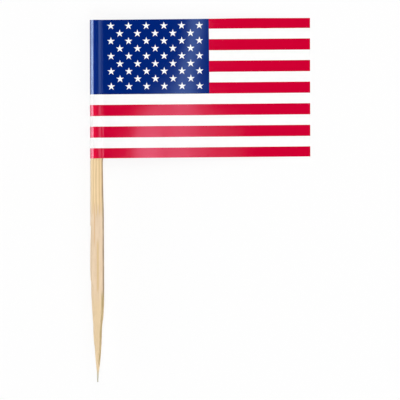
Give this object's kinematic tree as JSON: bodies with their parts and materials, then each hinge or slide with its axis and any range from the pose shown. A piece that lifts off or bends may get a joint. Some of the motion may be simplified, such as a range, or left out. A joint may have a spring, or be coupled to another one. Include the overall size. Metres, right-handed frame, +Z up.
{
  "type": "flag toothpick",
  "caption": "Wooden party pick with one long point and a paper flag, striped red and white with a blue starred corner, folded round its blunt end.",
  "frame": {"origin": "centre of the bounding box in plan, at the table that the pick lies on", "axes": "+X from the pick to the flag's free edge, +Y along the pick towards its blunt end, +Z up, out of the flag's front face"},
  "size_m": [0.0396, 0.0652, 0.0025],
  "materials": {
    "pick_wood": "bare turned wood",
    "white_paper": "coated gloss paper",
    "red_print": "gloss print",
    "blue_print": "gloss print"
  },
  "bodies": {
    "root": {"toothpick": "pick_wood", "flag_sheet": "white_paper", "red_stripes": "red_print", "blue_canton": "blue_print"}
  },
  "joints": []
}
